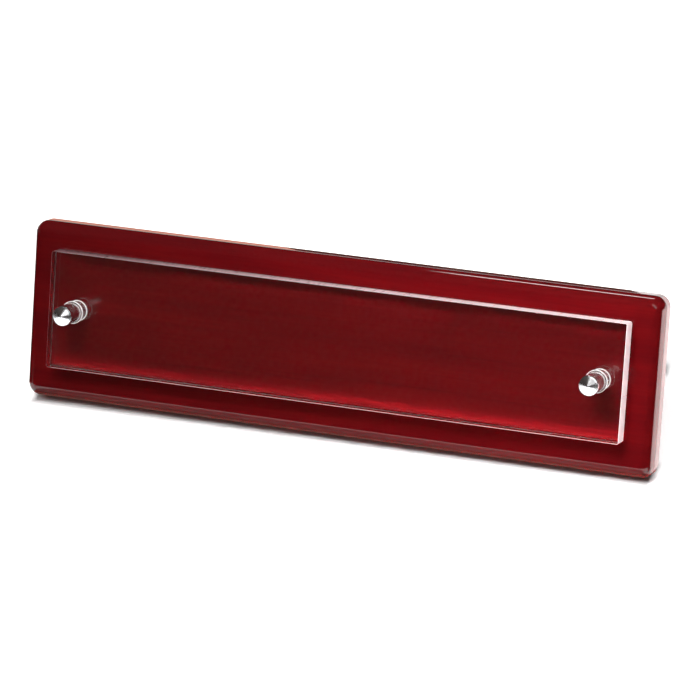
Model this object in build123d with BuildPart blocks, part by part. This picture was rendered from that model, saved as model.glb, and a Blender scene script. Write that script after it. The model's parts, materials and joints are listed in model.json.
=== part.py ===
from build123d import *
import math
import os

# Desk name plate: a lacquered board that leans back on two posts, with a clear panel held
# off its face by two screw caps. All sizes are millimetres. X runs along the board, the
# front faces -Y, +Z is up, and the origin is on the desk under the middle of the object.

# Board
board_width = 266.7
board_height = 72.5
board_thickness = 11.0
board_corner_radius = 5.2
board_front_rounding = 5.0
board_back_rounding = 1.5
rounding_margin = 0.2  # the front rounding stays this much under the corner radius

# Clear panel
panel_end_margin = 12.05  # the board shows this far past each end of the panel
panel_height = 47.8
panel_thickness = 7.0
panel_corner_radius = 0.8
panel_edge_break = 0.3
panel_rise = 2.0  # the panel's middle is this far above the board's

# Standoffs: one stud on each side carries everything on its axis
standoff_inset = 10.6  # from each end of the panel to the stud's axis
stud_diameter = 4.0
stud_end_chamfer = 0.4
stud_clearance = 0.25  # around the stud where it only passes through
thread_clearance = 0.05  # around the stud where it is screwed in

# Screw caps
cap_diameter = 8.0
cap_length = 10.0
cap_cone_height = 2.0
cap_edge_break = 0.3
cap_grip = 6.5  # length of stud inside the cap
cap_hole_spare = 1.0

# Washers and spacers
washer_diameter = 9.2
washer_thickness = 0.9
spacer_diameter = 8.6
spacer_thickness = 0.8
post_washer_diameter = 13.0
post_washer_thickness = 0.7
turning_clearance = 0.1  # between a washer and the cap or post that turns on it

# Threaded inserts, let into the board's back
insert_diameter = 7.0
insert_length = 7.5
insert_end_chamfer = 0.4
insert_clearance = 0.03

# Rear posts
post_diameter = 15.9
post_length = 57.0
post_tip_rounding = 1.0
post_seat_chamfer = 0.5
post_grip = 10.0  # length of stud inside the post
post_hole_spare = 1.5

# Stations along a stud, measured out of the board's front face
panel_back = spacer_thickness
panel_front = panel_back + panel_thickness
cap_seat = panel_front + washer_thickness + turning_clearance
cap_rim = cap_seat + cap_length
post_washer_back = -board_thickness - post_washer_thickness
post_seat = post_washer_back - turning_clearance
post_end = post_seat - post_length
stud_front = cap_seat + cap_grip
stud_back = post_seat - post_grip

# Widths along the board, each set in from the one before
panel_width = board_width - 2 * panel_end_margin
standoff_spacing = panel_width - 2 * standoff_inset

# Heights up the board, measured from its lower edge
board_middle = board_height / 2
axis_height = board_middle + panel_rise
panel_bottom = axis_height - panel_height / 2
post_radius = post_diameter / 2
cap_radius = cap_diameter / 2

# The board leans until its lower back edge and the post tips reach the desk together
rise = axis_height - post_radius + post_tip_rounding - board_back_rounding
reach = -board_thickness + board_back_rounding - (post_end + post_tip_rounding)
drop = post_tip_rounding - board_back_rounding
lean = math.acos(drop / math.hypot(rise, reach)) - math.atan2(reach, rise)


def depth(up, out):
    """How far behind the board's lower front edge a point lies, on the level."""
    return up * math.sin(lean) - out * math.cos(lean)


def height(up, out):
    """How far above the board's lower front edge a point lies."""
    return up * math.cos(lean) + out * math.sin(lean)


# The object's foremost, hindmost and lowest points place it on the desk
front_rounding = min(board_front_rounding, board_corner_radius - rounding_margin)
foremost = min(
    depth(panel_bottom + panel_edge_break, panel_front - panel_edge_break) - panel_edge_break,
    depth(front_rounding, -front_rounding) - front_rounding,
    depth(axis_height, cap_rim + cap_cone_height),
    depth(axis_height - cap_radius, cap_rim - cap_edge_break),
)
tip_top = axis_height + post_radius - post_tip_rounding
hindmost = depth(tip_top, post_end + post_tip_rounding) + post_tip_rounding
lowest = height(board_back_rounding, board_back_rounding - board_thickness) - board_back_rounding

outward = Vector(0, -math.cos(lean), math.sin(lean))
up_board = Vector(0, math.sin(lean), math.cos(lean))
foot = Vector(0, -(foremost + hindmost) / 2, -lowest)
out_axis = Axis(foot, outward)

# Plane of the board's front face: x along the board, y up it, from the middle of its lower edge
front_face = Plane(foot, x_dir=(1, 0, 0), z_dir=outward)
sides = {"left": -1, "right": 1}
stud_places = [(side * standoff_spacing / 2, axis_height) for side in sides.values()]

os.makedirs("parts", exist_ok=True)


def save(part, name):
    """Name a finished piece and write it."""
    part.label = name
    export_step(part, f"parts/{name}.step")
    size = part.bounding_box().size
    print(f"{name}: {size.X:.2f} x {size.Y:.2f} x {size.Z:.2f} mm, {part.volume:.1f} mm3")


# Board: rounded slab, large rounding in front, small behind, drilled for the studs
with BuildPart() as backboard:
    with BuildSketch(front_face):
        with Locations((0, board_middle)):
            RectangleRounded(board_width, board_height, board_corner_radius)
    extrude(amount=-board_thickness)
    faces_outward = backboard.faces().sort_by(out_axis)
    front_rim = faces_outward[-1].edges()
    back_rim = faces_outward[0].edges()
    fillet(front_rim, front_rounding)
    fillet(back_rim, board_back_rounding)
    with BuildSketch(front_face):
        with Locations(*stud_places):
            Circle(stud_diameter / 2 + stud_clearance)
    extrude(amount=-board_thickness, mode=Mode.SUBTRACT)
    with BuildSketch(front_face.offset(-board_thickness)):
        with Locations(*stud_places):
            Circle(insert_diameter / 2 + insert_clearance)
    extrude(amount=insert_length, mode=Mode.SUBTRACT)
save(backboard.part, "backboard")

# Clear panel: flat sheet with broken edges and two stud holes
with BuildPart() as name_panel:
    with BuildSketch(front_face.offset(panel_back)):
        with Locations((0, axis_height)):
            RectangleRounded(panel_width, panel_height, panel_corner_radius)
    extrude(amount=panel_thickness)
    faces_outward = name_panel.faces().sort_by(out_axis)
    rims = faces_outward[-1].edges() + faces_outward[0].edges()
    fillet(rims, panel_edge_break)
    with BuildSketch(front_face.offset(panel_back)):
        with Locations(*stud_places):
            Circle(stud_diameter / 2 + stud_clearance)
    extrude(amount=panel_thickness, mode=Mode.SUBTRACT)
save(name_panel.part, "name_panel")


def ring(place, station, thickness, outer_diameter, bore_diameter):
    """A flat ring round a stud, from one station outwards."""
    with BuildPart() as flat_ring:
        with BuildSketch(front_face.offset(station)):
            with Locations(place):
                Circle(outer_diameter / 2)
                Circle(bore_diameter / 2, mode=Mode.SUBTRACT)
        extrude(amount=thickness)
    return flat_ring.part


passing_bore = stud_diameter + 2 * stud_clearance
threaded_bore = stud_diameter + 2 * thread_clearance

for side_name, place in zip(sides, stud_places):
    # Stud: plain rod with chamfered ends
    with BuildPart() as stud:
        with BuildSketch(front_face.offset(stud_back)):
            with Locations(place):
                Circle(stud_diameter / 2)
        extrude(amount=stud_front - stud_back)
        end_faces = stud.faces().sort_by(out_axis)
        chamfer(end_faces[0].edges() + end_faces[-1].edges(), stud_end_chamfer)
    save(stud.part, f"{side_name}_stud")

    # Insert: threaded sleeve flush with the board's back
    with BuildPart() as insert:
        with BuildSketch(front_face.offset(-board_thickness)):
            with Locations(place):
                Circle(insert_diameter / 2)
        extrude(amount=insert_length)
        inner_end = insert.faces().sort_by(out_axis)[-1]
        chamfer(inner_end.edges(), insert_end_chamfer)
        with BuildSketch(front_face.offset(-board_thickness)):
            with Locations(place):
                Circle(threaded_bore / 2)
        extrude(amount=insert_length, mode=Mode.SUBTRACT)
    save(insert.part, f"{side_name}_insert")

    # Rings that only the stud passes through
    spacer = ring(place, 0, spacer_thickness, spacer_diameter, passing_bore)
    save(spacer, f"{side_name}_spacer")
    cap_washer = ring(place, panel_front, washer_thickness, washer_diameter, passing_bore)
    save(cap_washer, f"{side_name}_cap_washer")
    post_washer = ring(place, post_washer_back, post_washer_thickness, post_washer_diameter, passing_bore)
    save(post_washer, f"{side_name}_post_washer")

    # Cap: turned cylinder with a cone face and a blind hole for the stud
    axis_point = front_face.from_local_coords(Vector(*place))
    turning_plane = Plane(axis_point, x_dir=(1, 0, 0), z_dir=-up_board)
    with BuildPart() as cap:
        with BuildSketch(turning_plane):
            with BuildLine():
                Polyline(
                    (0, cap_seat),
                    (cap_radius - cap_edge_break, cap_seat),
                    (cap_radius, cap_seat + cap_edge_break),
                    (cap_radius, cap_rim - cap_edge_break),
                    (cap_radius - cap_edge_break, cap_rim),
                    (0, cap_rim + cap_cone_height),
                    close=True,
                )
            make_face()
        revolve(axis=Axis(axis_point, outward))
        with BuildSketch(front_face.offset(cap_seat)):
            with Locations(place):
                Circle(threaded_bore / 2)
        extrude(amount=cap_grip + cap_hole_spare, mode=Mode.SUBTRACT)
    save(cap.part, f"{side_name}_cap")

    # Post: plain bar with a rounded far end and a blind hole for the stud
    with BuildPart() as post:
        with BuildSketch(front_face.offset(post_seat)):
            with Locations(place):
                Circle(post_radius)
        extrude(amount=-post_length)
        end_faces = post.faces().sort_by(out_axis)
        far_rim = end_faces[0].edges()
        seat_rim = end_faces[-1].edges()
        fillet(far_rim, post_tip_rounding)
        chamfer(seat_rim, post_seat_chamfer)
        with BuildSketch(front_face.offset(post_seat)):
            with Locations(place):
                Circle(threaded_bore / 2)
        extrude(amount=-(post_grip + post_hole_spare), mode=Mode.SUBTRACT)
    save(post.part, f"{side_name}_post")
    print(f"{side_name} axis through {axis_point.X:.4f}, {axis_point.Y:.4f}, {axis_point.Z:.4f} mm")

print(f"lean {math.degrees(lean):.4f} degrees, outward {outward.X:.6f}, {outward.Y:.6f}, {outward.Z:.6f}")
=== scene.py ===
# %% [markdown]
# Desk name plate. A lacquered rosewood board leans back on two chrome posts. A clear acrylic panel floats
# in front of it on two screw caps. The CAD parts are a fixed frame, and this lesson dresses them: every
# piece that shows gets a smooth mesh of the same size in the same place, and a finish made of shader
# nodes.

# %% Load the frame
import json
import math

import bmesh
import bpy
from mathutils import Matrix, Quaternion, Vector


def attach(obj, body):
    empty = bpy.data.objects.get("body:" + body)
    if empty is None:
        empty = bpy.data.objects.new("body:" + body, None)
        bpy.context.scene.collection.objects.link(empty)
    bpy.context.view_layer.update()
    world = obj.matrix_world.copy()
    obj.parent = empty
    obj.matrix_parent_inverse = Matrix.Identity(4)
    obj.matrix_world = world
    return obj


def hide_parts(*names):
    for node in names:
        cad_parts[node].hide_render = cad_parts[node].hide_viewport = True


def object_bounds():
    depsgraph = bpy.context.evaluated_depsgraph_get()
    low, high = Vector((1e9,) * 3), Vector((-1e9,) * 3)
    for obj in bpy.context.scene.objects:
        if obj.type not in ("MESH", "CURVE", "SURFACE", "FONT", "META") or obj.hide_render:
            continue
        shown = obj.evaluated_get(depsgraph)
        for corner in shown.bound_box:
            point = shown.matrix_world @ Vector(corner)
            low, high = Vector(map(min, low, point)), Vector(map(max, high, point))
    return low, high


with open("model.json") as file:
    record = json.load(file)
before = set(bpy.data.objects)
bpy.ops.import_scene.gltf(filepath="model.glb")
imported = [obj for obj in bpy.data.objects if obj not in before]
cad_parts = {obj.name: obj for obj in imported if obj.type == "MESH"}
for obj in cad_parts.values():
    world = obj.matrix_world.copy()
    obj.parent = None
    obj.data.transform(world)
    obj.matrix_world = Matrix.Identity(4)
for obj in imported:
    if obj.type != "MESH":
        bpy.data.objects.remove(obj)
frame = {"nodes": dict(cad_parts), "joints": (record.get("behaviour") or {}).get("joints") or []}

cad_low, cad_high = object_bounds()
mm = 0.001

# %% [markdown]
# The board leans, so nothing on it is level. Modelling it tilted would make every selection awkward.
# Instead each piece is modelled in board space, where x runs along the board, y up it and z straight out
# of its front, and is tilted into place at the end. The frame's own screw joints give that space: their
# axes point out of the board, and they pass through the middle of the panel.

# %% Board space
joints = {joint["name"]: joint for joint in frame["joints"]}
left_axis = Vector(joints["left_cap_turn"]["pos_m"])
right_axis = Vector(joints["right_cap_turn"]["pos_m"])
along = Vector((1, 0, 0))
outward = Vector(joints["left_cap_turn"]["axis"]).normalized()
up_board = outward.cross(along)
axis_middle = (left_axis + right_axis) / 2
axis_reach = (right_axis - left_axis).length / 2
board_space = Matrix((along, up_board, outward)).transposed().to_4x4()
board_space.translation = axis_middle
to_board = board_space.inverted()
lean = math.asin(outward.z)
sides = {"left": -1, "right": 1}


def span(node):
    """Lowest and highest corner of a CAD node, in board space."""
    points = [to_board @ vertex.co for vertex in frame["nodes"][node].data.vertices]
    low = Vector([min(point[i] for point in points) for i in range(3)])
    high = Vector([max(point[i] for point in points) for i in range(3)])
    return low, high


board_low, board_high = span("backboard")
panel_low, panel_high = span("name_panel")
print(f"lean {math.degrees(lean):.2f} degrees, studs {2 * axis_reach / mm:.1f} mm apart")

# %% [markdown]
# Operators act on whatever is selected, and loading the frame leaves its parts selected. These helpers
# clear the selection, choose parts of the mesh by where they lie, and put a finished piece where it
# belongs. A piece ends at the world's origin with its place in its mesh, so patterns on Object
# coordinates stay where they are.

# %% Helpers for modelling
tiny = 0.01 * mm
smooth_angle = math.radians(35)


def deselect():
    """Leave edit mode and clear the selection."""
    if bpy.context.object and bpy.context.object.mode != "OBJECT":
        bpy.ops.object.mode_set(mode="OBJECT")
    bpy.ops.object.select_all(action="DESELECT")


def activate(piece):
    """Make one piece the only selected and active one."""
    deselect()
    piece.select_set(True)
    bpy.context.view_layer.objects.active = piece


def edit(piece):
    """Open a piece in edit mode."""
    activate(piece)
    bpy.ops.object.mode_set(mode="EDIT")


def pick(kind, test):
    """In edit mode, select the vertices, edges or faces that pass a test."""
    bpy.ops.mesh.select_mode(type=kind)
    bpy.ops.mesh.select_all(action="DESELECT")
    mesh = bmesh.from_edit_mesh(bpy.context.object.data)
    parts = {"VERT": mesh.verts, "EDGE": mesh.edges, "FACE": mesh.faces}[kind]
    for part in parts:
        if test(part):
            part.select_set(True)
    mesh.select_flush_mode()
    bmesh.update_edit_mesh(bpy.context.object.data)


def edges_at(height):
    """A test for edges that lie at one height along z."""
    return lambda edge: all(abs(vertex.co.z - height) < tiny for vertex in edge.verts)


def face_at(height):
    """A test for flat faces that lie at one height along z."""
    return lambda face: all(abs(vertex.co.z - height) < tiny for vertex in face.verts)


def apply_modifier(piece, kind, **settings):
    """Add one modifier, set it and apply it."""
    activate(piece)
    modifier = piece.modifiers.new(kind.lower(), kind)
    for name, value in settings.items():
        setattr(modifier, name, value)
    bpy.ops.object.modifier_apply(modifier=modifier.name)


def settle(piece, name, body, node):
    """Tilt a finished piece into place, smooth it and fasten it to its body."""
    activate(piece)
    piece.name = name
    piece.data.name = name
    piece.matrix_world = board_space
    bpy.ops.object.transform_apply(location=True, rotation=True, scale=True)
    bpy.ops.object.shade_smooth_by_angle(angle=smooth_angle)
    apply_modifier(piece, "WEIGHTED_NORMAL", keep_sharp=True)
    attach(piece, body)
    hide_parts(node)
    print(name, "has", len(piece.data.polygons), "faces")


def settle_pair(piece, name, body, node, finish):
    """Copy a piece modelled at a stud's axis to both studs, each copy with its own mesh."""
    piece.data.materials.append(finish)
    for side, sign in sides.items():
        copy = piece.copy()
        copy.data = piece.data.copy()
        bpy.context.scene.collection.objects.link(copy)
        copy.data.transform(Matrix.Translation((sign * axis_reach, 0, 0)))
        settle(copy, f"{side}_{name}", body.format(side=side), f"{side}_{node}")
    bpy.data.objects.remove(piece)


# %% [markdown]
# Finishes come next, because a piece takes its finish as it is made. A few lines of code place nodes: one
# helper starts a material, one adds a node with its settings and links, and one reads Object coordinates
# and turns them into board space with a Mapping node, so that grain runs along the board and lathe rings
# circle the studs.

# %% Helpers for finishes
first_bounce = 0.5  # the count of matt bounces along a light path passes this at the first one


def new_finish(name):
    """A material with a Principled BSDF, and its node tree."""
    material = bpy.data.materials.new(name)
    material.use_nodes = True
    tree = material.node_tree
    print("finish:", name)
    return material, tree, tree.nodes["Principled BSDF"]


def add(tree, kind, inputs=None, **settings):
    """Add a node. An input is a plain value, or another node's output to link."""
    node = tree.nodes.new("ShaderNode" + kind)
    for name, value in settings.items():
        setattr(node, name, value)
    feed(tree, node, inputs or {})
    return node


def feed(tree, node, inputs):
    """Set or link a node's inputs."""
    for name, value in inputs.items():
        if isinstance(value, bpy.types.NodeSocket):
            tree.links.new(value, node.inputs[name])
        else:
            node.inputs[name].default_value = value


def ramp(tree, factor, *stops):
    """A colour ramp through the given (place, colour) stops."""
    node = add(tree, "ValToRGB", {"Fac": factor})
    elements = node.color_ramp.elements
    while len(elements) < len(stops):
        elements.new(0.5)
    for element, (place, colour) in zip(elements, stops):
        element.position = place
        element.color = (*colour, 1)
    return node.outputs["Color"]


def combine(tree, operation, *values):
    """The result of one Math node."""
    node = add(tree, "Math", dict(enumerate(values)), operation=operation)
    return node.outputs[0]


def product(tree, *factors):
    """Multiply values and node outputs."""
    result = factors[0]
    for factor in factors[1:]:
        result = combine(tree, "MULTIPLY", result, factor)
    return result


def remap(tree, value, start, end, low=0.0, high=1.0):
    """Carry a value from the range start to end over to the range low to high."""
    node = add(tree, "MapRange", {"Value": value, "From Min": start, "From Max": end, "To Min": low,
                                  "To Max": high})
    return node.outputs["Result"]


def scaled(tree, colour, factor):
    """A colour times a value."""
    node = add(tree, "VectorMath", {0: colour, "Scale": factor}, operation="SCALE")
    return node.outputs["Vector"]


def board_coordinates(tree):
    """Object coordinates turned into board space."""
    place = add(tree, "TexCoord")
    turn = (board_space.to_euler().x, 0, 0)
    mapping = add(tree, "Mapping", {"Vector": place.outputs["Object"], "Location": axis_middle,
                                    "Rotation": turn}, vector_type="TEXTURE")
    return mapping.outputs["Vector"]


def stretched_noise(tree, place, cell, detail, distortion=0.0):
    """Noise whose cells have the given size along each axis."""
    scale = [1 / size for size in cell]
    mapping = add(tree, "Mapping", {"Vector": place, "Scale": scale})
    noise = add(tree, "TexNoise", {"Vector": mapping.outputs["Vector"], "Scale": 1.0, "Detail": detail,
                                   "Distortion": distortion})
    return noise.outputs["Fac"]


# %% [markdown]
# Acrylic, metal and nylon all carry the same faint handling marks: hazy patches a few millimetres wide
# where the gloss is a little lower, and finer scuffs in them. One node group makes them, and each finish
# gives it its own gloss range. Metal and nylon pieces are also turned on a lathe, which leaves rings
# round their axis. A second group works out those rings from the distance to the nearer stud.

# %% Node groups shared by several finishes
def new_group(name, inputs, outputs):
    """An empty shader node group with float or vector sockets."""
    group = bpy.data.node_groups.new(name, "ShaderNodeTree")
    for socket, kind in inputs.items():
        group.interface.new_socket(socket, in_out="INPUT", socket_type=kind)
    for socket in outputs:
        group.interface.new_socket(socket, in_out="OUTPUT", socket_type="NodeSocketFloat")
    entry = group.nodes.new("NodeGroupInput")
    leave = group.nodes.new("NodeGroupOutput")
    return group, entry.outputs, leave


patch_size = (9 * mm, 7 * mm, 8 * mm)
scuff_size = (3 * mm, 0.4 * mm, 0.4 * mm)
scuff_share = 0.3
usual_low = 0.3  # the mixed noise seldom leaves the range between these two
usual_high = 0.75
handling_group, given, leave = new_group(
    "handling marks",
    {"Vector": "NodeSocketVector", "Glossiest": "NodeSocketFloat", "Dullest": "NodeSocketFloat"},
    ["Roughness"],
)
patches = stretched_noise(handling_group, given["Vector"], patch_size, detail=2)
scuffs = stretched_noise(handling_group, given["Vector"], scuff_size, detail=3)
scuff_part = product(handling_group, scuffs, scuff_share)
both = combine(handling_group, "MULTIPLY_ADD", patches, 1 - scuff_share, scuff_part)
gloss = remap(handling_group, both, usual_low, usual_high, low=given["Glossiest"],
              high=given["Dullest"])
feed(handling_group, leave, {"Roughness": gloss})

ring_pitch = 0.25 * mm
lathe_group, given, leave = new_group("lathe rings", {"Vector": "NodeSocketVector"}, ["Rings"])
parts = add(lathe_group, "SeparateXYZ", {"Vector": given["Vector"]}).outputs
across = combine(lathe_group, "ABSOLUTE", parts["X"])
from_axis = combine(lathe_group, "SUBTRACT", across, axis_reach)
flat_place = add(lathe_group, "CombineXYZ", {"X": from_axis, "Y": parts["Y"]}).outputs["Vector"]
radius = add(lathe_group, "VectorMath", {0: flat_place}, operation="LENGTH").outputs["Value"]
travel = combine(lathe_group, "ADD", radius, parts["Z"])
turns = combine(lathe_group, "DIVIDE", travel, ring_pitch)
rings = add(lathe_group, "TexNoise", {"W": turns, "Scale": 1.0, "Detail": 2.0}, noise_dimensions="1D")
feed(lathe_group, leave, {"Rings": rings.outputs["Fac"]})


def use_group(tree, group, inputs):
    """Place a shared group in a material."""
    node = tree.nodes.new("ShaderNodeGroup")
    node.node_tree = group
    feed(tree, node, inputs)
    return node.outputs


print("shared groups:", handling_group.name, "and", lathe_group.name)

# %% [markdown]
# The board is rosewood, stained deep red, under a thick clear lacquer that is polished like a piano. The
# wood itself is not glossy: its colour comes from broad streaks along the board, fine dark lines and
# short pores. The lacquer is a separate clear coat on top, so reflections stay white and sharp while the
# wood stays red.

# %% Rosewood under lacquer
streak_size = (120 * mm, 9 * mm, 9 * mm)
line_size = (55 * mm, 1.1 * mm, 1.1 * mm)
pore_size = (6 * mm, 0.35 * mm, 0.35 * mm)
dark_wood = (0.115, 0.002, 0.004)
red_wood = (0.155, 0.003, 0.005)
bright_wood = (0.2, 0.0045, 0.0058)
line_share = 0.3
pore_start = 0.66
pore_full = 0.74
pore_tone = 0.8


def make_lacquered_rosewood():
    """Deep red wood grain under a mirror coat."""
    material, tree, surface = new_finish("lacquered rosewood")
    place = board_coordinates(tree)
    streaks = stretched_noise(tree, place, streak_size, detail=3, distortion=0.6)
    lines = stretched_noise(tree, place, line_size, detail=4, distortion=0.3)
    pores = stretched_noise(tree, place, pore_size, detail=1)
    figure = combine(tree, "MULTIPLY_ADD", streaks, 1 - line_share, product(tree, lines, line_share))
    wood = ramp(tree, figure, (0.32, dark_wood), (0.52, red_wood), (0.74, bright_wood))
    open_pores = remap(tree, pores, pore_start, pore_full, low=1.0, high=pore_tone)
    feed(tree, surface, {"Base Color": scaled(tree, wood, open_pores), "Roughness": 0.42,
                         "Specular IOR Level": 0.0, "Coat Weight": 1.0, "Coat Roughness": 0.012,
                         "Coat IOR": 1.55})
    return material


lacquered_rosewood = make_lacquered_rosewood()

# %% [markdown]
# The panel is clear acrylic. Its two large faces are polished. Its edges are sawn and only lightly
# polished: from outside they look white, and from within they are as clear as a mirror. Two materials
# share the mesh: a clear one for the faces, and one for the edges that mixes a frosted shader outside with a
# clear one inside, by which side of the face is seen. Outside, the light that runs inside the sheet and
# comes out at the edges is painted: their colour goes from a dim pink at the left to white at the right,
# painted shade darkens them at the back towards the left, and they glow, most at the right end and along
# their rims. Light that runs down inside the sheet also leaves its lower and left edges back towards the
# wood. Tracing that takes very long, so the inner side of those edges glows instead, only for light on
# its way to a matt surface.

# %% Clear acrylic
acrylic_ior = 1.49
saw_mark_size = (0.5 * mm, 0.35 * mm, 9 * mm)
nick_size = (1.1 * mm, 0.8 * mm, 2.5 * mm)
clear_tint = (0.99, 0.995, 0.995, 1)
# Painted light on the sawn edges from outside: colour from dim at the left to white at the right, and glow.
shaded_edge_paint = (0.45, 0.24, 0.26)
pink_lit_edge_paint = (0.95, 0.76, 0.78)
white_lit_edge_paint = (0.97, 0.95, 0.95)
painted_glow_left = (0.03, 0.01, 0.015)
painted_glow_right = (0.55, 0.42, 0.43)
rim_light = (0.45, 0.38, 0.4)
rim_depth = 0.45 * mm
thrown_left = (0.3, 0.27, 0.27)
thrown_right = (1.0, 0.95, 0.95)
thrown_light = 6.0
end_share = 0.25
back_shade = 0.85
nick_start = 0.7
nick_full = 0.76
nick_darkness = 0.6
sawn_darkest = 0.72
rim_roughness = 0.6
dark_end = 1 * mm  # from the left end, where the rims give no light, and where they give all of it
lit_start = 3 * mm


def make_polished_acrylic():
    """Clear sheet with a trace of haze."""
    material, tree, surface = new_finish("polished acrylic")
    place = board_coordinates(tree)
    haze = stretched_noise(tree, place, patch_size, detail=2)
    tint = ramp(tree, haze, (0.3, (0.994, 0.997, 0.997)), (0.7, (1.0, 1.0, 1.0)))
    marks = use_group(tree, handling_group, {"Vector": place, "Glossiest": 0.0, "Dullest": 0.006})
    feed(tree, surface, {"Base Color": tint, "Roughness": marks["Roughness"], "IOR": acrylic_ior,
                         "Transmission Weight": 1.0})
    return material


def near_faces(tree, out):
    """1 along the panel's front and back rims, 0 in the middle of its edges."""
    middle = (panel_low.z + panel_high.z) / 2
    half = (panel_high.z - panel_low.z) / 2
    away = combine(tree, "ABSOLUTE", combine(tree, "SUBTRACT", out, middle))
    return remap(tree, away, half - rim_depth, half - rim_depth / 2)


def at_low_side(tree, across, low_side, most=1.0):
    """A mask for the panel's edge on the low side of one axis, 0 elsewhere."""
    return remap(tree, across, low_side + rim_depth, low_side + rim_depth / 2, high=most)


def frost(tree, surface, place, parts, rightward):
    """The edge from outside: frosted, with saw marks and a few nicks, and painted light, whiter to the
    right.
    """
    saw_marks = stretched_noise(tree, place, saw_mark_size, detail=3)
    nicks = remap(tree, stretched_noise(tree, place, nick_size, detail=2), nick_start, nick_full)
    # Painted light: the edge's colour runs from a dim pink at the left to white at the right.
    painted_edge_light = ramp(tree, rightward, (0.0, shaded_edge_paint), (0.6, pink_lit_edge_paint), (0.97, pink_lit_edge_paint),
                     (1.0, white_lit_edge_paint))
    unmarked = combine(tree, "SUBTRACT", 1.0, product(tree, nicks, nick_darkness))
    sawn_tone = remap(tree, saw_marks, start=0.35, end=0.6, low=sawn_darkest)
    # Painted shade at the back of the edge, towards the left.
    leftward = combine(tree, "SUBTRACT", 1.0, rightward)
    backward = remap(tree, parts["Z"], panel_high.z, panel_low.z)
    lit = combine(tree, "SUBTRACT", 1.0, product(tree, leftward, backward, back_shade))
    edge_colour = scaled(tree, painted_edge_light, product(tree, unmarked, sawn_tone, lit))
    dullness = remap(tree, saw_marks, start=0.3, end=0.7, low=0.22, high=0.5)
    height = combine(tree, "SUBTRACT", saw_marks, nicks)
    bump = add(tree, "Bump", {"Height": height, "Strength": 0.25, "Distance": 0.1 * mm})
    # Painted light: the edge glows, more towards the right, and along its front and back rims.
    gathered = ramp(tree, rightward, (0.0, painted_glow_left), (1.0, painted_glow_right))
    past_left = remap(tree, parts["X"], panel_low.x + dark_end, panel_low.x + lit_start)
    rims = product(tree, near_faces(tree, parts["Z"]), past_left)
    glow = add(tree, "VectorMath", {0: rim_light, 1: rims, 2: gathered}, operation="MULTIPLY_ADD")
    feed(tree, surface, {"Base Color": edge_colour, "Roughness": dullness, "IOR": acrylic_ior,
                         "Transmission Weight": 0.3, "Normal": bump.outputs["Normal"],
                         "Emission Color": scaled(tree, glow.outputs["Vector"], lit),
                         "Emission Strength": 1.0})


def clear_within(tree, place, parts, rightward, sight):
    """The edge from within: clear, scuffed at its rims, and throwing light back on the wood."""
    marks = use_group(tree, handling_group, {"Vector": place, "Glossiest": 0.0, "Dullest": 0.02})
    scuffed = combine(tree, "MULTIPLY_ADD", near_faces(tree, parts["Z"]), rim_roughness, marks["Roughness"])
    below = at_low_side(tree, parts["Y"], panel_low.y)
    leftmost = at_low_side(tree, parts["X"], panel_low.x, end_share)
    thrower = combine(tree, "MAXIMUM", below, leftmost)
    scattered = combine(tree, "GREATER_THAN", sight["Diffuse Depth"], first_bounce)
    thrown = ramp(tree, rightward, (0.0, thrown_left), (1.0, thrown_right))
    thrown_back = scaled(tree, thrown, product(tree, thrower, scattered, thrown_light))
    return add(tree, "BsdfPrincipled", {"Base Color": clear_tint, "Roughness": scuffed, "IOR": acrylic_ior,
                                        "Transmission Weight": 1.0, "Emission Color": thrown_back,
                                        "Emission Strength": 1.0})


def make_sawn_acrylic():
    """Panel edge: frosted from outside, clear from within and in mirrors."""
    material, tree, surface = new_finish("sawn acrylic")
    place = board_coordinates(tree)
    parts = add(tree, "SeparateXYZ", {"Vector": place}).outputs
    rightward = remap(tree, parts["X"], panel_low.x, panel_high.x)
    sight = add(tree, "LightPath").outputs
    frost(tree, surface, place, parts, rightward)
    clear = clear_within(tree, place, parts, rightward, sight).outputs["BSDF"]
    within = add(tree, "NewGeometry").outputs["Backfacing"]
    either = add(tree, "MixShader", {"Fac": within, 1: surface.outputs["BSDF"], 2: clear})
    edge = add(tree, "MixShader", {"Fac": sight["Is Glossy Ray"], 1: either.outputs["Shader"], 2: clear})
    feed(tree, tree.nodes["Material Output"], {"Surface": edge.outputs["Shader"]})
    return material


polished_acrylic = make_polished_acrylic()
sawn_acrylic = make_sawn_acrylic()

# %% [markdown]
# Caps and posts are turned brass or steel under bright chrome. Chrome is a mirror with a cool grey tint,
# so most of its look is what it reflects. The lathe rings and handling marks only vary its gloss a
# little. The caps have a bright plate with a satin gloss. The posts have a darker, glossier one, which
# keeps their outline on a white floor.

# %% Chrome
bright_plate = ((0.74, 0.75, 0.77), (0.86, 0.86, 0.87))
plain_plate = ((0.46, 0.46, 0.48), (0.56, 0.56, 0.58))


def make_chrome(name, plate, glossiest, dullest):
    """Mirror plate over turned metal."""
    material, tree, surface = new_finish(name)
    place = board_coordinates(tree)
    rings = use_group(tree, lathe_group, {"Vector": place})["Rings"]
    tint = ramp(tree, rings, (0.3, plate[0]), (0.6, plate[1]))
    marks = use_group(tree, handling_group, {"Vector": place, "Glossiest": glossiest, "Dullest": dullest})
    bump = add(tree, "Bump", {"Height": rings, "Strength": 0.04, "Distance": 0.02 * mm})
    feed(tree, surface, {"Base Color": tint, "Metallic": 1.0, "Roughness": marks["Roughness"],
                         "Normal": bump.outputs["Normal"]})
    return material


cap_chrome = make_chrome("cap chrome", bright_plate, glossiest=0.2, dullest=0.3)
post_chrome = make_chrome("post chrome", plain_plate, glossiest=0.07, dullest=0.16)

# %% [markdown]
# The washers against the posts are milky nylon. The cap washers and the spacers behind the panel are
# clearer, and their scuffed rims show as fine white rings: the rims get a material of their own that
# glows a little, as painted light. The studs are zinc plated and a little dull, and the inserts in the
# board are plain brass.

# %% Nylon, zinc and brass
nylon_ior = 1.53


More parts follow.
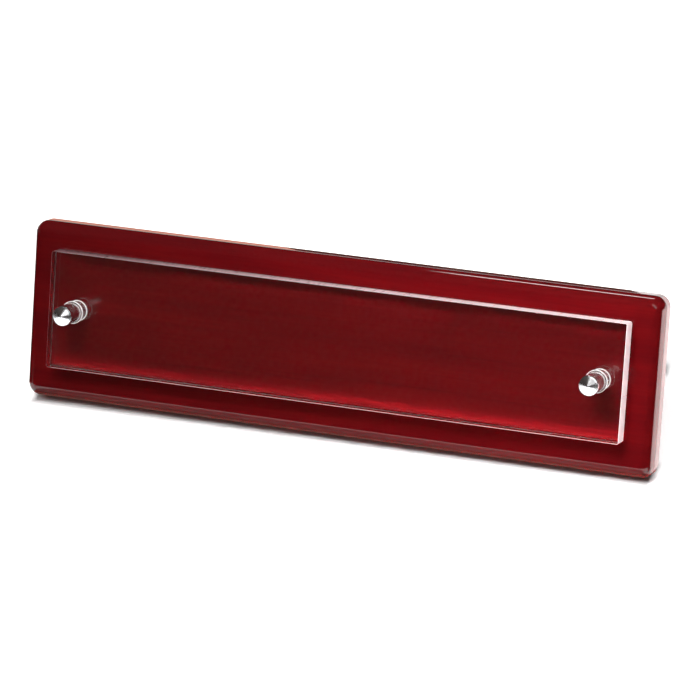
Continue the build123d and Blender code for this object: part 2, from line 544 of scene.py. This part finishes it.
def make_nylon(name, clearness, glossiest, dullest, glow=0.0):
    """Natural nylon, from milky to clear, with any glow as painted light."""
    material, tree, surface = new_finish(name)
    place = board_coordinates(tree)
    rings = use_group(tree, lathe_group, {"Vector": place})["Rings"]
    body = ramp(tree, rings, (0.3, (0.94, 0.9, 0.9)), (0.7, (0.98, 0.95, 0.95)))
    marks = use_group(tree, handling_group, {"Vector": place, "Glossiest": glossiest, "Dullest": dullest})
    feed(tree, surface, {"Base Color": body, "Roughness": marks["Roughness"], "IOR": nylon_ior,
                         "Transmission Weight": clearness, "Emission Color": body,
                         "Emission Strength": glow})
    return material


def make_turned_metal(name, dark, light, glossiest, dullest):
    """Plain metal with lathe rings in its colour and gloss."""
    material, tree, surface = new_finish(name)
    place = board_coordinates(tree)
    rings = use_group(tree, lathe_group, {"Vector": place})["Rings"]
    tint = ramp(tree, rings, (0.3, dark), (0.7, light))
    marks = use_group(tree, handling_group, {"Vector": place, "Glossiest": glossiest, "Dullest": dullest})
    feed(tree, surface, {"Base Color": tint, "Metallic": 1.0, "Roughness": marks["Roughness"]})
    return material


milky_nylon = make_nylon("milky nylon", clearness=0.15, glossiest=0.15, dullest=0.3)
hazy_nylon = make_nylon("hazy nylon", clearness=0.85, glossiest=0.06, dullest=0.15)
# The rims of the cap washers and spacers glow: painted light.
glowing_rim_nylon = make_nylon("glowing rim nylon", clearness=0.15, glossiest=0.15, dullest=0.3, glow=0.45)
clear_nylon = make_nylon("clear nylon", clearness=0.95, glossiest=0.02, dullest=0.08)
zinc_thread = make_turned_metal("zinc thread", dark=(0.42, 0.43, 0.45), light=(0.62, 0.63, 0.65),
                                glossiest=0.2, dullest=0.42)
turned_brass = make_turned_metal("turned brass", dark=(0.55, 0.38, 0.13), light=(0.78, 0.6, 0.28),
                                 glossiest=0.15, dullest=0.35)

# %% [markdown]
# The board starts as a cube of the board's size. Its four upright edges are bevelled into the round
# corners, then the front rim gets its large rounding and the back rim a small one, each with enough
# segments for a mirror finish. Drilling it with boolean cutters afterwards keeps the bevels clean.

# %% Lacquered board
corner_radius = 5.2 * mm
front_rounding = 5 * mm
back_rounding = 1.5 * mm
corner_segments = 16
stud_bore = 2.25 * mm
insert_bore = 3.53 * mm
insert_depth = 7.5 * mm
cutter_overrun = 1 * mm
cutter_sides = 64


def block(low, high):
    """A box between two corners, open in edit mode."""
    deselect()
    bpy.ops.mesh.primitive_cube_add(size=1, location=(low + high) / 2)
    piece = bpy.context.object
    piece.scale = high - low
    bpy.ops.object.transform_apply(location=True, rotation=True, scale=True)
    edit(piece)
    return piece


def round_edges(test, radius, segments):
    """Bevel the edges that pass a test to a round of the given radius."""
    pick("EDGE", test)
    bpy.ops.mesh.bevel(offset=radius, segments=segments, profile=0.5, affect="EDGES", clamp_overlap=False)


def upright(edge):
    """True for an edge that runs along z."""
    return abs(edge.verts[0].co.z - edge.verts[1].co.z) > tiny


def drill(piece, radius, start, end):
    """Bore a round hole at both studs, between two heights along z."""
    for sign in sides.values():
        deselect()
        bpy.ops.mesh.primitive_cylinder_add(vertices=cutter_sides, radius=radius, depth=end - start,
                                            location=(sign * axis_reach, 0, (start + end) / 2))
        cutter = bpy.context.object
        apply_modifier(piece, "BOOLEAN", operation="DIFFERENCE", object=cutter, solver="EXACT")
        bpy.data.objects.remove(cutter)


skin = Vector((tiny, tiny, tiny))  # the fine mesh lies this much inside the CAD solid
board = block(board_low + skin, board_high - skin)
round_edges(upright, corner_radius, corner_segments)
round_edges(edges_at(board_high.z - tiny), front_rounding, corner_segments)
round_edges(edges_at(board_low.z + tiny), back_rounding, corner_segments // 2)
bpy.ops.object.mode_set(mode="OBJECT")
drill(board, stud_bore, board_low.z - cutter_overrun, board_high.z + cutter_overrun)
drill(board, insert_bore, board_low.z - cutter_overrun, board_low.z + insert_depth)
board.data.materials.append(lacquered_rosewood)
settle(board, "lacquered_board", "stand", "backboard")

# %% [markdown]
# The panel is the same kind of block, with nearly square corners and just a broken edge, drilled right
# through for the studs. Faces that don't look along z are the sawn edges and the walls of the holes, so
# they get the frosted material. The narrow break along the top is polished, and stays clear.

# %% Acrylic panel
panel_corner_radius = 0.8 * mm
panel_edge_break = 0.3 * mm
edge_tilt = 0.95  # a face with more of its normal along z is one of the large ones
break_tilt = 0.35
top_tilt = 0.3


def is_sawn(face):
    """True for an edge face, but not for the polished break along the top."""
    tilt = abs(face.normal.z)
    return tilt < edge_tilt and not (face.normal.y > top_tilt and tilt > break_tilt)


panel = block(panel_low, panel_high)
round_edges(upright, panel_corner_radius, segments=6)
round_edges(edges_at(panel_high.z), panel_edge_break, segments=4)
round_edges(edges_at(panel_low.z), panel_edge_break, segments=4)
bpy.ops.object.mode_set(mode="OBJECT")
drill(panel, stud_bore, panel_low.z - cutter_overrun, panel_high.z + cutter_overrun)
panel.data.materials.append(polished_acrylic)
panel.data.materials.append(sawn_acrylic)
for face in panel.data.polygons:
    face.material_index = int(is_sawn(face))
settle(panel, "acrylic_panel", "stand", "name_panel")

# %% [markdown]
# A screw cap is a short cylinder with a low cone for a face. The cone is made by extruding the end face
# ring by ring and drawing it in: several rings keep the cone's sides straight in the reflections, where
# one ring would make them look domed. The back is inset to the stud's size and pushed in for the blind
# hole.

# %% Screw caps
round_sides = 96
cap_edge_break = 0.3 * mm
cap_cone_height = 2 * mm
threaded_bore = 2.05 * mm
cap_hole_depth = 7.5 * mm
cone_rings = 8


def rod(low_z, high_z, radius):
    """A cylinder round a stud's axis between two heights, open in edit mode."""
    deselect()
    bpy.ops.mesh.primitive_cylinder_add(vertices=round_sides, radius=radius, depth=high_z - low_z,
                                        location=(0, 0, (low_z + high_z) / 2))
    piece = bpy.context.object
    bpy.ops.object.transform_apply(location=True, rotation=True, scale=True)
    edit(piece)
    return piece


def blind_hole(face_z, face_radius, hole_radius, depth):
    """Inset the end face at a height and push the middle in by a signed depth."""
    pick("FACE", face_at(face_z))
    bpy.ops.mesh.inset(thickness=face_radius - hole_radius)
    bpy.ops.mesh.extrude_region_move(TRANSFORM_OT_translate={"value": (0, 0, depth)})


cap_low, cap_high = span("left_cap")
cap_radius = (cap_high.x - cap_low.x) / 2
cap_rim = cap_high.z - cap_cone_height
cap = rod(cap_low.z, cap_rim, cap_radius)
round_edges(edges_at(cap_rim), cap_edge_break, segments=3)
round_edges(edges_at(cap_low.z), cap_edge_break, segments=3)
cone_radius = cap_radius - cap_edge_break
pick("FACE", face_at(cap_rim))
for rings_left in range(cone_rings, 1, -1):
    shrink = (rings_left - 1) / rings_left
    bpy.ops.mesh.extrude_region_move(TRANSFORM_OT_translate={"value": (0, 0, cap_cone_height / cone_rings)})
    bpy.ops.transform.resize(value=(shrink, shrink, 1), center_override=(0, 0, 0))
bpy.ops.mesh.poke(offset=cap_cone_height / cone_rings)
blind_hole(cap_low.z, cone_radius, threaded_bore, cap_hole_depth)
bpy.ops.object.mode_set(mode="OBJECT")
settle_pair(cap, "screw_cap", "{side}_cap", "cap", cap_chrome)

# %% [markdown]
# A rear post is a plain chromed bar. Its far end, which stands on the desk, is rounded, the end against
# the board is chamfered, and a blind hole there takes the stud.

# %% Rear posts
post_tip_rounding = 1 * mm
post_seat_chamfer = 0.5 * mm
post_hole_depth = 11.5 * mm

post_low, post_high = span("left_post")
post_radius = (post_high.x - post_low.x) / 2
post = rod(post_low.z, post_high.z, post_radius)
round_edges(edges_at(post_low.z), post_tip_rounding, segments=8)
round_edges(edges_at(post_high.z), post_seat_chamfer, segments=2)
blind_hole(post_high.z, post_radius - post_seat_chamfer, threaded_bore, -post_hole_depth)
bpy.ops.object.mode_set(mode="OBJECT")
settle_pair(post, "rear_post", "{side}_post", "post", post_chrome)

# %% [markdown]
# Washers, spacers and inserts are all rings round a stud. A ring is a cylinder whose two end faces are
# inset to the bore and deleted; bridging the two open loops makes the bore's wall, and a small bevel
# breaks the rims. The rims of the cap washers and spacers then get the glowing material, painted light.

# %% Washers, spacers and inserts
ring_edge_break = 0.12 * mm
washer_edge_break = 0.2 * mm
spacer_edge_break = 0.36 * mm
rim_start = 4 * mm
flat_tilt = 0.99


def flat_ring(node, bore, edge_break=ring_edge_break):
    """A ring the size of a CAD node, round a stud's axis."""
    low, high = span(node)
    outer = (high.x - low.x) / 2
    piece = rod(low.z, high.z, outer)
    pick("FACE", lambda face: face_at(low.z)(face) or face_at(high.z)(face))
    bpy.ops.mesh.inset(thickness=outer - bore, use_individual=True)
    bpy.ops.mesh.delete(type="FACE")
    pick("EDGE", lambda edge: edge.is_boundary)
    bpy.ops.mesh.bridge_edge_loops()
    for end in (low.z, high.z):
        round_edges(lambda edge: edges_at(end)(edge) and edge.calc_face_angle(0) > smooth_angle, edge_break,
                    segments=2)
    bpy.ops.mesh.select_all(action="SELECT")
    bpy.ops.mesh.normals_make_consistent(inside=False)
    bpy.ops.object.mode_set(mode="OBJECT")
    return piece


cap_ring = flat_ring("left_cap_washer", stud_bore, washer_edge_break)
cap_ring.data.materials.append(hazy_nylon)
for face in cap_ring.data.polygons:
    face.material_index = int(abs(face.normal.z) < flat_tilt and face.center.xy.length > rim_start)
settle_pair(cap_ring, "cap_ring", "{side}_cap_washer", "cap_washer", glowing_rim_nylon)
settle_pair(flat_ring("left_post_washer", stud_bore), "post_ring", "{side}_post_washer", "post_washer",
            milky_nylon)
spacer = flat_ring("left_spacer", stud_bore, spacer_edge_break)
spacer.data.materials.append(clear_nylon)
for face in spacer.data.polygons:
    face.material_index = int(face.normal.z < flat_tilt and face.center.xy.length > rim_start)
settle_pair(spacer, "spacer_ring", "stand", "spacer", glowing_rim_nylon)
settle_pair(flat_ring("left_insert", threaded_bore), "brass_insert", "stand", "insert",
            turned_brass)

# %% [markdown]
# The studs are threaded rod, and a few millimetres of thread show when a cap or post is unscrewed. The
# thread is real geometry: one tooth's outline, drawn by extruding a single point, is wound up the rod by
# a Screw modifier. Its turns are merged into one skin, and both ends are cut flat and drawn in to a
# chamfer.

# %% Threaded studs
thread_pitch = 0.7 * mm
thread_depth = 0.38 * mm
crest_share = 0.2
stud_chamfer = 0.4 * mm
chamfer_scale = 0.8
thread_steps = 32
spare_turns = 2  # wound past the rod's length, and cut off again
cut_slack = tiny / 10

stud_low, stud_high = span("left_stud")
stud_radius = (stud_high.x - stud_low.x) / 2
turn_count = math.ceil((stud_high.z - stud_low.z) / thread_pitch) + spare_turns

deselect()
bpy.ops.mesh.primitive_plane_add(size=thread_pitch)
stud = bpy.context.object
edit(stud)
bpy.ops.mesh.select_mode(type="VERT")
bpy.ops.mesh.select_all(action="SELECT")
bpy.ops.mesh.merge(type="CENTER")
bpy.ops.transform.translate(value=(stud_radius - thread_depth, 0, stud_low.z - thread_pitch))
flank_rise = thread_pitch * (1 - crest_share) / 2
for out, rise in ((thread_depth, flank_rise), (0, thread_pitch * crest_share), (-thread_depth, flank_rise)):
    bpy.ops.mesh.extrude_vertices_move(TRANSFORM_OT_translate={"value": (out, 0, rise)})
apply_modifier(stud, "SCREW", angle=math.tau, screw_offset=thread_pitch, iterations=turn_count,
               steps=thread_steps, render_steps=thread_steps)
edit(stud)
bpy.ops.mesh.select_all(action="SELECT")
bpy.ops.mesh.remove_doubles(threshold=tiny)
for end, inward in ((stud_low.z, 1), (stud_high.z, -1)):
    cut = end + inward * stud_chamfer
    bpy.ops.mesh.select_all(action="SELECT")
    bpy.ops.mesh.bisect(plane_co=(0, 0, cut), plane_no=(0, 0, -inward), use_fill=True, clear_outer=True,
                        threshold=cut_slack)
    pick("FACE", face_at(cut))
    bpy.ops.mesh.extrude_region_move(TRANSFORM_OT_translate={"value": (0, 0, -inward * stud_chamfer)})
    bpy.ops.transform.resize(value=(chamfer_scale, chamfer_scale, 1), center_override=(0, 0, 0))
bpy.ops.mesh.select_all(action="SELECT")
bpy.ops.mesh.normals_make_consistent(inside=False)
bpy.ops.object.mode_set(mode="OBJECT")
settle_pair(stud, "threaded_stud", "stand", "stud", zinc_thread)

# %% [markdown]
# The floor is a plain white sheet, much larger than the view, so no horizon shows. A photographer lights
# such a sheet until it is pure white. Doing that with lamps would flood the object, so the sheet glows a
# little instead, and only where it is looked at: straight, in a mirror or through glass, and never on the
# way to a matt surface. The glow lights nothing, and it fades out at the board's foot and the post tips, so
# the floor there is darker: partly the real shadow, and partly painted shade.

# %% Floor
floor_size = 8.0
paper_tone = 0.84
paper_mottle = 0.02
glow_to_camera = 0.85
glow_in_mirrors = 1.2
foot_reach = 6 * mm
foot_fade = 3 * mm


def lowest_point(node):
    """The point of a CAD node that stands on the floor."""
    return min((vertex.co for vertex in frame["nodes"][node].data.vertices), key=lambda point: point.z)


foot = lowest_point("backboard")
tip = lowest_point("right_post")


def away_from_foot(tree, place):
    """0 where the board and the posts stand, rising to 1 a few millimetres away."""
    parts = add(tree, "SeparateXYZ", {"Vector": place}).outputs
    sideways = combine(tree, "ABSOLUTE", parts["X"])
    past_end = combine(tree, "SUBTRACT", sideways, cad_high[0] - foot_fade)
    from_foot = combine(tree, "ABSOLUTE", combine(tree, "SUBTRACT", parts["Y"], foot.y))
    past_foot = combine(tree, "SUBTRACT", from_foot, foot_reach)
    past_board = combine(tree, "MAXIMUM", past_end, past_foot)
    folded = add(tree, "CombineXYZ", {"X": sideways, "Y": parts["Y"]}).outputs["Vector"]
    tip_point = (axis_reach, tip.y, 0)
    from_tip = add(tree, "VectorMath", {0: folded, 1: tip_point}, operation="DISTANCE").outputs["Value"]
    past_tip = combine(tree, "SUBTRACT", from_tip, foot_reach)
    nearest = combine(tree, "MINIMUM", past_board, past_tip)
    return remap(tree, nearest, 0.0, foot_fade)


def make_white_paper():
    """Matt white paper that glows for the camera, for mirrors and for glass."""
    material, tree, surface = new_finish("white paper")
    place = add(tree, "TexCoord").outputs["Object"]
    mottle = add(tree, "TexNoise", {"Vector": place, "Scale": 3.0, "Detail": 3.0}).outputs["Fac"]
    tone = ramp(tree, mottle, (0.3, (paper_tone,) * 3), (0.7, (paper_tone + paper_mottle,) * 3))
    sight = add(tree, "LightPath").outputs
    # Near the board's foot and the post tips the glow fades out: painted shade over the real shadow.
    direct = product(tree, sight["Is Camera Ray"], away_from_foot(tree, place), glow_to_camera)
    bent = combine(tree, "MAXIMUM", sight["Is Glossy Ray"], sight["Is Transmission Ray"])
    unscattered = combine(tree, "LESS_THAN", sight["Diffuse Depth"], first_bounce)
    mirrored = product(tree, bent, unscattered, glow_in_mirrors)
    feed(tree, surface, {"Base Color": tone, "Roughness": 0.9, "Specular IOR Level": 0.2,
                         "Emission Color": (1, 1, 1, 1),
                         "Emission Strength": combine(tree, "ADD", direct, mirrored)})
    return material


deselect()
bpy.ops.mesh.primitive_plane_add(size=floor_size)
floor = bpy.context.object
floor.name = "floor"
floor.data.materials.append(make_white_paper())
print("floor", floor_size, "m wide, board's foot at y", round(foot.y / mm, 1), "mm")

# %% [markdown]
# Light. Most of it comes from one soft box high in front: it gives the soft shadow under each cap. It is
# gridded and aimed past the board's right end, so the left end falls off into a deeper red, and it is
# flagged off from the polished surfaces, which would show it as a hard bar. What those show instead is a
# long dim panel that runs from overhead down to the front right, as the bright part of each cap's cone,
# and a small box behind, as a thin line along the board's top rounding. A square fill box at the left
# lifts the shadows, and mirrors don't show it either. The room is nearly dark, so the lacquer's front
# stays a deep red.

# %% Lamps and world
def direction(azimuth, elevation):
    """Unit vector from the object, azimuth 0 in front and 90 at the right, in degrees."""
    turn, rise = math.radians(azimuth), math.radians(elevation)
    return Vector((math.sin(turn) * math.cos(rise), -math.cos(turn) * math.cos(rise), math.sin(rise)))


def soft_box(name, azimuth, elevation, distance, size, power, aim=0.0, spread=180.0, roll=0.0):
    """A rectangular area lamp, aimed at a point along the middle of the board."""
    lamp = bpy.data.lights.new(name, "AREA")
    lamp.shape = "RECTANGLE"
    lamp.size, lamp.size_y = size
    lamp.energy = power
    lamp.spread = math.radians(spread)
    holder = bpy.data.objects.new(name, lamp)
    bpy.context.scene.collection.objects.link(holder)
    holder.location = axis_middle + direction(azimuth, elevation) * distance
    away = holder.location - axis_middle - along * aim
    level = away.to_track_quat("Z", "Y")
    holder.rotation_euler = (level @ Quaternion((0, 0, 1), math.radians(roll))).to_euler()
    print(name, "at", [round(value, 2) for value in holder.location])
    return holder


front_box = soft_box("front box", azimuth=6, elevation=67, distance=1.1, size=(0.5, 0.4), power=2.05,
                     aim=0.35, spread=56)
fill_box = soft_box("fill box", azimuth=-62, elevation=45, distance=1.2, size=(0.6, 0.6), power=3.0)
long_panel = soft_box("long panel", azimuth=26.6, elevation=52.5, distance=1.0, size=(0.86, 0.3), power=1.46,
                      roll=-55.6)
soft_box("rear box", azimuth=-165, elevation=52, distance=1.3, size=(0.3, 0.12), power=1.8)
front_box.visible_glossy = False
fill_box.visible_glossy = False
long_panel.visible_diffuse = False
long_panel.visible_transmission = False

room_low = 0.02
room_high = 0.09
room_tone = (1.0, 0.84, 0.79, 1)
world = bpy.data.worlds.new("dim room")
bpy.context.scene.world = world
world.use_nodes = True
tree = world.node_tree
skyward = add(tree, "SeparateXYZ", {"Vector": add(tree, "TexCoord").outputs["Generated"]}).outputs["Z"]
dimness = remap(tree, skyward, start=0.0, end=1.0, low=room_low, high=room_high)
feed(tree, tree.nodes["Background"], {"Color": room_tone, "Strength": dimness})
bpy.context.scene.view_settings.view_transform = "Standard"

# %% [markdown]
# The wood under the panel is lit through the panel. By default the renderer blurs light that reaches a
# matt surface through glass, which darkens the wood and loses the two bands that the panel's edges make
# on it: a dark one under the top edge, and a bright one above the bottom edge. Turning that filter off
# keeps them.

# %% Light through the panel
bpy.context.scene.cycles.blur_glossy = 0.0
print("glossy filter:", bpy.context.scene.cycles.blur_glossy)

# %% [markdown]
# The board's top is seen at a low angle, where lacquer is almost a mirror. It shows the floor well behind
# the board. Cards lie there and round the board, and only mirrors see them, so each is a painted reflection
# in the lacquer. Two lie behind, as flags do in a studio: a dark one, and a tan one at the left that glows
# a little. Dark ones lie at each side, for the dark parts of its roundings. A mauve card in front and a
# brown one under the board glow a little and give its bottom rounding its tones; the brown one stands in
# for the shade under the board, as painted shade. At the right, three pale cards fan out from the board's
# corner and glow, a painted reflection for the pale strip along its right side.

# %% Cards round the board
card_lift = 1 * mm
dark_tone = (0.06, 0.03, 0.025)
tan_tone = (0.85, 0.42, 0.31)
painted_shade_brown = (0.3, 0.12, 0.1)
pale_tone = (1.0, 0.8, 0.79)
mauve_tone = (0.42, 0.29, 0.285)
fan_corner = (0.1345, -0.036)
fan_reach = 0.6
fan_point = 0.001  # width of a fan card at the board's corner
behind = 0.215  # these lines and starts are places on the floor, in metres
behind_width = 0.17
tan_start = -0.102
front_line = -0.064
front_width = 0.044
under_line = -0.016
under_width = 0.052
mottle_tone = 0.9


def lay_card(name, near, far, widths, colour, glow=0.0):
    """A flat card on the floor that runs from one point to another, seen only in mirrors: a painted
    reflection.
    """
    material, tree, surface = new_finish(name)
    mottle = add(tree, "TexNoise", {"Vector": add(tree, "TexCoord").outputs["Object"], "Scale": 20.0})
    darker = [mottle_tone * value for value in colour]
    tone = ramp(tree, mottle.outputs["Fac"], (0.3, darker), (0.7, colour))
    feed(tree, surface, {"Base Color": tone, "Roughness": 0.8, "Emission Color": tone,
                         "Emission Strength": glow})
    run = Vector(far) - Vector(near)
    deselect()
    bpy.ops.mesh.primitive_plane_add(size=1)
    piece = bpy.context.object
    edit(piece)
    for end, width in zip((-1, 1), widths):
        pick("VERT", lambda vertex: vertex.co.x * end > 0)
        bpy.ops.transform.resize(value=(1, width, 1))
    bpy.ops.object.mode_set(mode="OBJECT")
    piece.name = name
    piece.scale.x = run.length
    piece.rotation_euler.z = math.atan2(run.y, run.x)
    piece.location = (*((Vector(near) + Vector(far)) / 2), card_lift)
    bpy.ops.object.transform_apply(location=True, rotation=True, scale=True)
    piece.data.materials.append(material)
    piece.visible_camera = False
    piece.visible_diffuse = False
    piece.visible_transmission = False
    piece.visible_shadow = False


lay_card("dark_card", near=(0.06, behind), far=(tan_start, behind), widths=(behind_width, behind_width),
         colour=dark_tone)
lay_card("tan_card", near=(tan_start, behind), far=(-0.42, behind), widths=(behind_width, behind_width),
         colour=tan_tone, glow=1.2)
lay_card("right_card", near=(0.138, -0.041), far=(3.9, -1.17), widths=(0.002, 1.5), colour=dark_tone)
# The pale cards glow: a painted reflection for the pale strip along the board's right side.
for turn, opening, glow in ((9.5, 31.0, 5.5), (37.5, 25.0, 4.2), (70.0, 40.0, 2.2)):
    heading = math.radians(turn)
    end = Vector(fan_corner) + fan_reach * Vector((math.cos(heading), math.sin(heading)))
    fan_width = 2 * fan_reach * math.tan(math.radians(opening) / 2)
    lay_card(f"pale_card_{turn:.0f}", near=fan_corner, far=end, widths=(fan_point, fan_width),
             colour=pale_tone, glow=glow)
lay_card("left_card", near=(-0.214, 0.157), far=(-3.87, -1.48), widths=(0.4, 0.4), colour=dark_tone)
# A mauve card that glows a little: a painted reflection in the board's bottom rounding.
lay_card("front_card", near=(cad_low[0], front_line), far=(cad_high[0], front_line),
         widths=(front_width, front_width), colour=mauve_tone, glow=0.8)
# Painted shade: a brown card that glows a little, for the shade under the board seen in its bottom rounding.
lay_card("painted_shade_card", near=(cad_low[0], under_line), far=(cad_high[0], under_line),
         widths=(under_width, under_width), colour=painted_shade_brown, glow=1.0)

# %% [markdown]
# The camera stands a little over two arm's lengths away, to the right of the board and above it, with a
# long lens, as the small change in scale along the board shows. It is rolled a little, because the
# picture is.

# %% Camera
camera_azimuth = 23.7
camera_elevation = 36.55
camera_distance = 1.7881
camera_roll = math.radians(-7.135)
camera_target = Vector((6.0, -23.9, 36.65)) * mm
lens_length = 231.4

camera = bpy.data.cameras.new("camera")
camera.lens = lens_length
camera.sensor_width = 36.0
holder = bpy.data.objects.new("camera", camera)
bpy.context.scene.collection.objects.link(holder)
away = direction(camera_azimuth, camera_elevation)
holder.location = camera_target + away * camera_distance
upright_view = away.to_track_quat("Z", "Y")
holder.rotation_euler = (upright_view @ Quaternion((0, 0, 1), camera_roll)).to_euler()
bpy.context.scene.camera = holder
print("camera", camera_distance, "m away, lens", lens_length, "mm")
